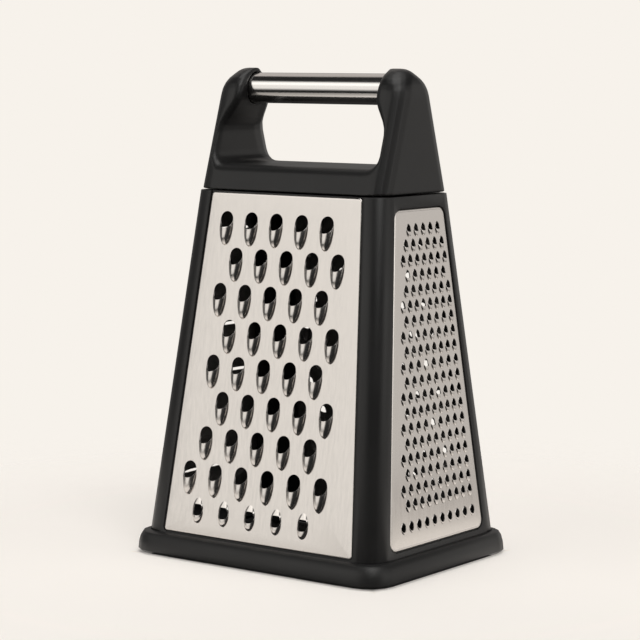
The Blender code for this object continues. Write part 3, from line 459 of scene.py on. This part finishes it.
def brushed_steel(name, dark, light, roughness, along, grain):
    """Stainless steel brushed along an axis. A mesh marks its insides and cut edges as inside: their
    colour is darkened there as painted shade, and they are rougher.
    """
    material, shader, tree = new_material(name, Metallic=1.0)
    stretch = [1.0, 1.0, 1.0]
    stretch["XYZ".index(along)] = STEEL_STRETCH
    streaks = tree.noise(STEEL_STREAKS, detail=3.0, stretch=stretch)
    fine_streaks = tree.noise(STEEL_FINE_STREAKS, stretch=stretch)
    clouds = tree.math("MULTIPLY", tree.noise(STEEL_CLOUDS), 1.0 - STEEL_STREAK_SHARE)
    mottle = tree.math("MULTIPLY_ADD", streaks, STEEL_STREAK_SHARE, clouds)
    inside = tree.add("ShaderNodeAttribute", attribute_name="inside").outputs["Fac"]
    # Painted shade: the colour of insides and cut edges is darkened here
    shade = tree.remap(inside, 0.0, 1.0, 1.0, INSIDE_PAINTED_SHADE)
    colour = tree.scale_vector(tree.mix_colour(mottle, dark, light), shade)
    polish = tree.vary(streaks, roughness, STEEL_ROUGHNESS_CHANGE)
    tree.feed(colour, shader.inputs["Base Color"])
    tree.feed(tree.math("MULTIPLY_ADD", inside, INSIDE_ROUGHER, polish), shader.inputs["Roughness"])
    tree.feed(tree.bump(fine_streaks, grain, STEEL_GRAIN_DEPTH), shader.inputs["Normal"])
    return material


def rubber(name):
    """Dull black rubber."""
    material, shader, tree = new_material(name)
    clouds = tree.noise(RUBBER_CLOUDS, detail=3.0)
    grain = tree.bump(tree.noise(RUBBER_GRAIN), RUBBER_GRAIN_STRENGTH, RUBBER_GRAIN_DEPTH)
    tree.feed(tree.mix_colour(clouds, RUBBER_DARK, RUBBER_LIGHT), shader.inputs["Base Color"])
    tree.feed(tree.vary(clouds, RUBBER_ROUGHNESS, RUBBER_ROUGHNESS_CHANGE), shader.inputs["Roughness"])
    tree.feed(grain, shader.inputs["Normal"])
    return material


# Plates

def frame_half(side, z):
    """The frame's half width across one side, at a height."""
    return side.half_top + (side.half_ground - side.half_top) * (FRAME_TOP - z) / FRAME_TOP


def side_slope(side):
    """The lean of one side: how far it moves inwards for each metre of height."""
    return (side.reach_ground - side.reach_top) / FRAME_TOP


def along_slope(side, z):
    """A height as a length along the side's slope."""
    return z * math.hypot(1.0, side_slope(side))


def side_matrix(side, depth):
    """Local axes of one side: u across it, v up its slope from the ground, w out of it."""
    slope = side_slope(side)
    rise = 1.0 / math.hypot(1.0, slope)
    across = Vector((1.0, 0.0, 0.0))
    up = Vector((0.0, slope * rise, rise))
    out = across.cross(up)
    axes = Matrix((across, up, out)).transposed().to_4x4()
    place = Matrix.Translation((0.0, -side.reach_ground, 0.0)) @ axes
    turn = Matrix.Rotation(math.pi / 2 * side.turns, 4, "Z")
    return turn @ place @ Matrix.Translation((0.0, 0.0, depth))


def plate_half_width(side, z):
    """The plate's half width at a height."""
    half_low = frame_half(side, side.low) - side.post_low
    half_high = frame_half(side, side.high) - side.post_high
    return half_low + (half_high - half_low) * (z - side.low) / (side.high - side.low)


def plate_outline(side, inset):
    """The plate's outline in (u, v), this far in from its edge."""
    half_low = plate_half_width(side, side.low)
    half_high = plate_half_width(side, side.high)
    v_low = along_slope(side, side.low)
    v_high = along_slope(side, side.high)
    corners = [Vector(corner) for corner in
               ((half_low, v_low), (half_high, v_high), (-half_high, v_high), (-half_low, v_low))]
    points = []
    for index, corner in enumerate(corners):
        to_last = (corners[index - 1] - corner).normalized()
        to_next = (corners[(index + 1) % 4] - corner).normalized()
        half = to_last.angle(to_next) / 2
        centre = corner + (to_last + to_next).normalized() * side.radius / math.sin(half)
        start = (corner + to_last * side.radius / math.tan(half) - centre) * (1.0 - inset / side.radius)
        turn = math.pi - 2 * half
        for step in range(BORDER_STEPS + 1):
            points.append(centre + Matrix.Rotation(turn * step / BORDER_STEPS, 2) @ start)
    return points


def power(value, exponent):
    """A power that keeps the value's sign."""
    return math.copysign(abs(value) ** exponent, value)


def outline_half(shape, y):
    """The half width of a tooth's outline at a height above its hole's centre."""
    reach = shape.top if y > 0.0 else shape.tail
    sharpness = shape.top_power if y > 0.0 else shape.tail_power
    return shape.half * max(1.0 - (y / reach) ** 2, 0.0) ** (sharpness / 2)


def hood_height(shape, x, y):
    """The hood's height over the sheet: full at the lip, falling to the outline at the sides and tail."""
    if y >= 0.0:
        return 0.0
    if y > -shape.lip:
        along = math.sin(math.pi / 2 * -y / shape.lip)
    else:
        past = min((-y - shape.lip) / (shape.tail - shape.lip), 1.0)
        along = (1.0 - past ** HOOD_FLATNESS) ** HOOD_FALL
    share = min(abs(x) / max(outline_half(shape, y), LEAST_HALF), 1.0)
    return shape.lift * along * math.sqrt(1.0 - share * share)


def tooth_loops(shape):
    """The rings of one tooth as lists of (x, y, z), from its collar in the flat sheet in to the hole."""
    outline = []
    hole = []
    rise = []
    for step in range(shape.steps):
        angle = 2 * math.pi * step / shape.steps
        across, up = math.cos(angle), math.sin(angle)
        if up > 0.0:
            outline.append(Vector((shape.half * power(across, shape.top_power), shape.top * up)))
            hole.append(Vector((shape.hole_half * power(across, shape.hole_power), shape.hole_top * up)))
        else:
            outline.append(Vector((shape.half * power(across, shape.tail_power), shape.tail * up)))
            hole.append(Vector((shape.hole_half * across, shape.lip * power(up, shape.lip_power))))
        rise.append(max(up, 0.0) ** 0.5)
    centre = Vector((0.0, (shape.top - shape.tail) / 2))
    collar = [point + (point - centre).normalized() * COLLAR for point in outline]
    loops = [[(point.x, point.y, 0.0) for point in collar]]
    for share in TOOTH_RINGS:
        ring = []
        for outer, inner, crown in zip(outline, hole, rise):
            point = outer.lerp(inner, share)
            height = hood_height(shape, point.x, point.y) + shape.crown * crown * share
            ring.append((point.x, point.y, height))
        loops.append(ring)
    return loops


def punch(bm, u, v, loops):
    """Add one tooth and return its collar, the loop where it joins the flat sheet."""
    rings = [[bm.verts.new((u + x * MM, v + y * MM, z * MM)) for x, y, z in loop] for loop in loops]
    for outer, inner in zip(rings, rings[1:]):
        bridge(bm, outer, inner)
    return rings[0]


def fill_between(bm, loops):
    """Fill the flat sheet inside the first loop and outside all the others."""
    verts = [vert for loop in loops for vert in loop]
    owners = [number for number, loop in enumerate(loops) for vert in loop]
    edges = []
    start = 0
    for loop in loops:
        edges += [(start + index, start + (index + 1) % len(loop)) for index in range(len(loop))]
        start += len(loop)
    filled = geometry.delaunay_2d_cdt([vert.co.xy for vert in verts], edges, [], FILL_KIND, FILL_TOLERANCE)
    sources = [origin[0] for origin in filled[3]]
    for corners in filled[2]:
        corners = [sources[corner] for corner in corners]
        owner = {owners[corner] for corner in corners}
        if len(owner) > 1 or owner == {0}:
            bm.faces.new([verts[corner] for corner in corners])


def rows_down(top, limit, pitch):
    """Heights from the top down to no lower than a limit."""
    return [top - pitch * index for index in range(int((top - limit) / pitch) + 1)]


def columns(centre, reach, pitch):
    """Places at a pitch from a centre, out to no further than the reach on each side."""
    first = math.ceil((-reach - centre) / pitch)
    last = math.floor((reach - centre) / pitch)
    return [centre + pitch * index for index in range(first, last + 1)]


def spread(low, high, pitch):
    """Places spread evenly from low to high, as near to the pitch as that allows."""
    count = round((high - low) / pitch)
    return [low + (high - low) * index / count for index in range(count + 1)]


def coarse_pattern():
    """The front plate's teeth. A pattern is a list of (u, height, shape)."""
    top_row = FRONT.high - COARSE_TOP_MARGIN
    small_row = FRONT.low + SMALL_BOTTOM_MARGIN
    rows = [(z, COARSE_TOOTH, COARSE_SIDE_MARGIN)
            for z in rows_down(top_row, small_row + SMALL_ROW_GAP, COARSE_ROW_PITCH)]
    rows.append((small_row, SMALL_TOOTH, SMALL_SIDE_MARGIN))
    teeth = []
    for index, (z, shape, margin) in enumerate(rows):
        share = (top_row - z) / (top_row - small_row)
        pitch = COARSE_PITCH_TOP + (COARSE_PITCH_BOTTOM - COARSE_PITCH_TOP) * share
        centre = COARSE_SHIFT if index % 2 else -COARSE_SHIFT
        shift = SMALL_SHIFT if shape is SMALL_TOOTH else 0.0
        reach = plate_half_width(FRONT, z) - margin
        teeth += [(u + shift, z, shape) for u in columns(centre, reach, pitch)]
    return teeth


def medium_pattern():
    """The back plate's staggered teeth."""
    teeth = []
    limit = BACK.low + MEDIUM_BOTTOM_MARGIN
    for index, z in enumerate(rows_down(BACK.high - MEDIUM_TOP_MARGIN, limit, MEDIUM_ROW_PITCH)):
        centre = MEDIUM_PITCH / 2 if index % 2 else 0.0
        reach = plate_half_width(BACK, z) - MEDIUM_SIDE_MARGIN
        teeth += [(u, z, MEDIUM_TOOTH) for u in columns(centre, reach, MEDIUM_PITCH)]
    return teeth


def fine_pattern():
    """The right plate's teeth: each row runs between two shares of the half width."""
    star_row = RIGHT.low + STAR_BOTTOM_MARGIN
    heights = rows_down(RIGHT.high - FINE_TOP_MARGIN, star_row + STAR_ROW_GAP, FINE_ROW_PITCH)
    rows = []
    for index, z in enumerate(heights):
        spans = FINE_TOP_SPANS if index < len(FINE_TOP_SPANS) else FINE_SPANS
        rows.append((z, spans[index % len(spans)], FINE_PITCH, FINE_TOOTH))
    rows.append((star_row, STAR_SPAN, STAR_PITCH, STAR_TOOTH))
    teeth = []
    for z, span, pitch, shape in rows:
        half = plate_half_width(RIGHT, z)
        low = half * span[0] + FINE_SHIFT
        high = min(half * span[1] + FINE_SHIFT, half - FINE_EDGE)
        teeth += [(u, z, shape) for u in spread(low, high, pitch)]
    return teeth


def slicing_pattern():
    """The left plate's slots, each as wide as its share of the plate."""
    teeth = []
    limit = LEFT.low + SLOT_TOOTH.tail * MM + SLOT_BOTTOM_MARGIN
    for z in rows_down(LEFT.high - SLOT_TOP_MARGIN, limit, SLOT_ROW_PITCH):
        half = plate_half_width(LEFT, z) * SLOT_WIDTH_SHARE / MM
        teeth.append((0.0, z, SLOT_TOOTH._replace(half=half, hole_half=half - SLOT_RIM)))
    return teeth


def make_plate(node, side, teeth, border, sheet, material):
    """A plate pressed from sheet: rounded border, flat field and punched teeth, thickened inwards."""
    bm = bmesh.new()
    rings = []
    for inset, height in border:
        outline = plate_outline(side, inset * MM)
        rings.append([bm.verts.new((point.x, point.y, height * MM)) for point in outline])
    for inner, outer in zip(rings, rings[1:]):
        bridge(bm, outer, inner)
    loops = [rings[0]]
    ready = {}
    for u, z, shape in teeth:
        if shape not in ready:
            ready[shape] = tooth_loops(shape)
        loops.append(punch(bm, u, along_slope(side, z), ready[shape]))
    fill_between(bm, loops)
    mesh = mesh_from(bm, node + "_skin")
    mesh.transform(side_matrix(side, -PLATE_RECESS))
    plate = add_piece(node, mesh, material)
    solidify = plate.modifiers.new("sheet", "SOLIDIFY")
    solidify.thickness = sheet
    solidify.offset = -1.0
    outside_faces = len(mesh.polygons)
    bake(plate)
    plate.data.set_sharp_from_angle(angle=TOOTH_EDGE_ANGLE)
    # Insides and cut edges, whose steel gets painted shade and more roughness
    inside = plate.data.attributes.new("inside", "FLOAT", "FACE")
    for index in range(outside_faces, len(plate.data.polygons)):
        inside.data[index].value = 1.0


# Moulded parts

def smooth_skin(node, material):
    """A copy of a moulded node with its facets and edges smoothed all over."""
    skin = add_piece(node, NODES[node].data.copy(), material)
    remesh = skin.modifiers.new("skin", "REMESH")
    remesh.mode = "VOXEL"
    remesh.voxel_size = HOUSING_GRID
    remesh.use_smooth_shade = True
    smooth = skin.modifiers.new("smooth", "SMOOTH")
    smooth.factor = HOUSING_SMOOTHING
    smooth.iterations = HOUSING_ROUNDS
    bake(skin)
    skin.data.shade_smooth()


def rounded_skin(node, width, material):
    """A copy of a moulded node with small rounded edges and smooth shading over its curves."""
    bm = bmesh.new()
    bm.from_mesh(NODES[node].data)
    bmesh.ops.remove_doubles(bm, verts=bm.verts, dist=MERGE_DISTANCE)
    bmesh.ops.dissolve_limit(bm, angle_limit=FLAT_ANGLE, verts=bm.verts, edges=bm.edges)
    skin = add_piece(node, mesh_from(bm, node + "_skin"), material)
    bevel = skin.modifiers.new("edges", "BEVEL")
    bevel.width = width
    bevel.segments = EDGE_SEGMENTS
    bevel.limit_method = "ANGLE"
    bevel.angle_limit = EDGE_ANGLE
    bake(skin)
    skin.data.set_sharp_from_angle(angle=EDGE_ANGLE)


# Handle bar

def make_bar(node, material):
    """The tube, finely turned, with a small rounding at its ends."""
    inner = BAR_RADIUS - BAR_WALL
    right_half = [(BAR_LOOP, BAR_RADIUS), (BAR_HALF_LENGTH - BAR_END_ROUNDING, BAR_RADIUS),
                  (BAR_HALF_LENGTH, BAR_RADIUS - BAR_END_ROUNDING), (BAR_HALF_LENGTH, inner)]
    left_half = [(-x, radius) for x, radius in reversed(right_half)]
    bm = bmesh.new()
    rings = []
    for x, radius in left_half + right_half:
        angles = [2 * math.pi * step / BAR_SEGMENTS for step in range(BAR_SEGMENTS)]
        rings.append([bm.verts.new((x, radius * math.cos(angle), BAR_AXIS_Z + radius * math.sin(angle)))
                      for angle in angles])
    for first, second in zip(rings, rings[1:] + rings[:1]):
        bridge(bm, first, second)
    mesh = mesh_from(bm, node + "_skin")
    mesh.set_sharp_from_angle(angle=EDGE_ANGLE)
    add_piece(node, mesh, material)


# Studio

def make_floor():
    """A pale disc that fades out into the backdrop. It is clear from below, and isn't mirrored."""
    material, tree, surface = bare_material("floor")
    split = tree.add("ShaderNodeSeparateXYZ")
    tree.feed(tree.place(), split.inputs[0])
    past_x, past_y = (tree.math("SUBTRACT", tree.math("ABSOLUTE", distance), half)
                      for distance, half in zip(split.outputs, FLOOR_COVERED))
    past = tree.math("MAXIMUM", past_x, past_y)
    # Painted shadow: the floor is dark and gives no light where the grater covers it
    outside_painted_shadow = tree.remap(past, -FLOOR_COVERED_SOFT, FLOOR_COVERED_SOFT, 0.0, 1.0, smooth=True)
    paint = tree.add("ShaderNodeBsdfDiffuse")
    tree.feed(tree.mix_colour(outside_painted_shadow, FLOOR_PAINTED_SHADOW, FLOOR_PAINT), paint.inputs["Color"])
    lit = tree.add("ShaderNodeAddShader")
    tree.feed(paint.outputs[0], lit.inputs[0])
    tree.feed(tree.light(FLOOR_LIGHT, outside_painted_shadow), lit.inputs[1])
    fade = tree.remap(tree.distance(), *FLOOR_FADE, 0.0, 1.0, smooth=True)
    from_below = tree.add("ShaderNodeNewGeometry").outputs["Backfacing"]
    clear = tree.add("ShaderNodeBsdfTransparent").outputs[0]
    tree.feed(tree.mix_shader(tree.math("MAXIMUM", fade, from_below), lit.outputs[0], clear), surface)
    bm = bmesh.new()
    bmesh.ops.create_circle(bm, cap_ends=True, segments=FLOOR_SEGMENTS, radius=FLOOR_RADIUS)
    floor = add_stage("floor", bm, material)
    floor.visible_glossy = False


def make_table_glow():
    """What steel mirrors of the lit table; nothing else sees it."""
    material, tree, surface = bare_material("table_glow")
    strength = tree.remap(tree.distance(), *TABLE_DISTANCES, *TABLE_STRENGTHS, smooth=True)
    tree.feed(tree.light(TABLE_COLOUR, strength), surface)
    bm = bmesh.new()
    for start, end in TABLE_SECTORS:
        loops = [[], []]
        for step in range(TABLE_STEPS + 1):
            turn = math.radians(start + (end - start) * step / TABLE_STEPS)
            for loop, radius in zip(loops, TABLE_RADII):
                loop.append(bm.verts.new((radius * math.sin(turn), -radius * math.cos(turn), TABLE_HEIGHT)))
        inner, outer = loops
        for index in range(TABLE_STEPS):
            bm.faces.new((inner[index], outer[index], outer[index + 1], inner[index + 1]))
    card = add_stage("table_glow", bm, material)
    card.visible_camera = False
    card.visible_diffuse = False
    card.visible_transmission = False
    card.visible_shadow = False


def make_world():
    """Soft light from zones of the sky; the camera itself sees a plain backdrop."""
    world = bpy.data.worlds.new("studio")
    bpy.context.scene.world = world
    world.use_nodes = True
    world.node_tree.nodes.clear()
    tree = ShaderTree(world.node_tree)
    split = tree.add("ShaderNodeSeparateXYZ")
    tree.feed(tree.add("ShaderNodeTexCoord").outputs["Generated"], split.inputs[0])
    x, y, z = split.outputs
    azimuth = tree.math("ARCTAN2", x, tree.math("MULTIPLY", y, -1.0))
    elevation = tree.math("ARCSINE", z)
    light = (AMBIENT, AMBIENT, AMBIENT)
    for zone in ZONES:
        centre, half, low, high, soft = (math.radians(value) for value in zone[:5])
        offset = tree.math("WRAP", tree.math("SUBTRACT", azimuth, centre), math.pi, -math.pi)
        across = tree.remap(tree.math("ABSOLUTE", offset), half - soft, half + soft, 1.0, 0.0, smooth=True)
        above = tree.remap(elevation, low - soft, low + soft, 0.0, 1.0, smooth=True)
        below = tree.remap(elevation, high - soft, high + soft, 1.0, 0.0, smooth=True)
        mask = tree.math("MULTIPLY", tree.math("MULTIPLY", across, above), below)
        full = [part * zone.level for part in zone.colour]
        light = tree.sum_vectors(light, tree.scale_vector(full, mask))
    camera_ray = tree.add("ShaderNodeLightPath").outputs["Is Camera Ray"]
    output = tree.add("ShaderNodeOutputWorld")
    seen = tree.mix_shader(camera_ray, tree.background(light), tree.background((*BACKDROP, 1.0)))
    tree.feed(seen, output.inputs["Surface"])


def make_camera():
    """The photograph's camera: a long lens, a little above the grater's middle."""
    azimuth = math.radians(CAMERA_AZIMUTH)
    elevation = math.radians(CAMERA_ELEVATION)
    roll = math.radians(CAMERA_ROLL)
    back = Vector((math.sin(azimuth) * math.cos(elevation), -math.cos(azimuth) * math.cos(elevation),
                   math.sin(elevation)))
    right = Vector((math.cos(azimuth), math.sin(azimuth), 0.0))
    up = back.cross(right)
    turned_right = math.cos(roll) * right + math.sin(roll) * up
    turned_up = -math.sin(roll) * right + math.cos(roll) * up
    data = bpy.data.cameras.new("camera")
    data.sensor_width = SENSOR_WIDTH
    data.lens = FOCAL_PIXELS * SENSOR_WIDTH / IMAGE_WIDTH
    data.clip_start, data.clip_end = CAMERA_CLIP
    camera = bpy.data.objects.new("camera", data)
    COLLECTION.objects.link(camera)
    place = Matrix((turned_right, turned_up, back)).transposed().to_4x4()
    place.translation = CAMERA_TARGET + back * CAMERA_DISTANCE
    camera.matrix_world = place
    bpy.context.scene.camera = camera


# The grater and its studio

black_plastic = moulded_plastic("black_plastic", dark=(0.012, 0.012, 0.0122),
                                light=(0.0165, 0.0163, 0.0165), roughness=0.36, grain=0.25)
base_plastic = moulded_plastic("base_plastic", dark=(0.012, 0.012, 0.0122), light=(0.016, 0.0158, 0.0158),
                               roughness=0.40, grain=0.3)
plug_nylon = moulded_plastic("plug_nylon", dark=(0.50, 0.49, 0.45), light=(0.58, 0.57, 0.52),
                             roughness=0.5, grain=0.2)
plate_steel = brushed_steel("brushed_sheet", dark=(0.735, 0.70, 0.668), light=(0.785, 0.75, 0.718),
                            roughness=0.22, along="Z", grain=0.09)
bar_steel = brushed_steel("bar_steel", dark=(0.76, 0.74, 0.72), light=(0.86, 0.84, 0.82),
                          roughness=0.14, along="X", grain=0.15)
screw_steel = brushed_steel("screw_steel", dark=(0.45, 0.44, 0.43), light=(0.60, 0.59, 0.58),
                            roughness=0.30, along="Z", grain=0.1)
pad_rubber = rubber("pad_rubber")

make_plate("coarse_plate", FRONT, coarse_pattern(), PRESSED_BORDER, SHEET, plate_steel)
make_plate("fine_plate", RIGHT, fine_pattern(), GROOVED_BORDER, FINE_SHEET, plate_steel)
make_plate("medium_plate", BACK, medium_pattern(), PRESSED_BORDER, SHEET, plate_steel)
make_plate("slicing_plate", LEFT, slicing_pattern(), GROOVED_BORDER, SHEET, plate_steel)
smooth_skin("handle_housing", black_plastic)
rounded_skin("body_frame", FRAME_EDGE, black_plastic)
rounded_skin("base_ring", RING_EDGE, base_plastic)
make_bar("handle_bar", bar_steel)
for node, obj in NODES.items():
    if node.startswith("foot_pad"):
        dress(obj, pad_rubber)
    elif node.startswith("bar_plug"):
        dress(obj, plug_nylon)
    elif "screw" in node:
        dress(obj, screw_steel)

make_floor()
make_table_glow()
make_world()
make_camera()
bpy.context.scene.view_settings.view_transform = "Standard"
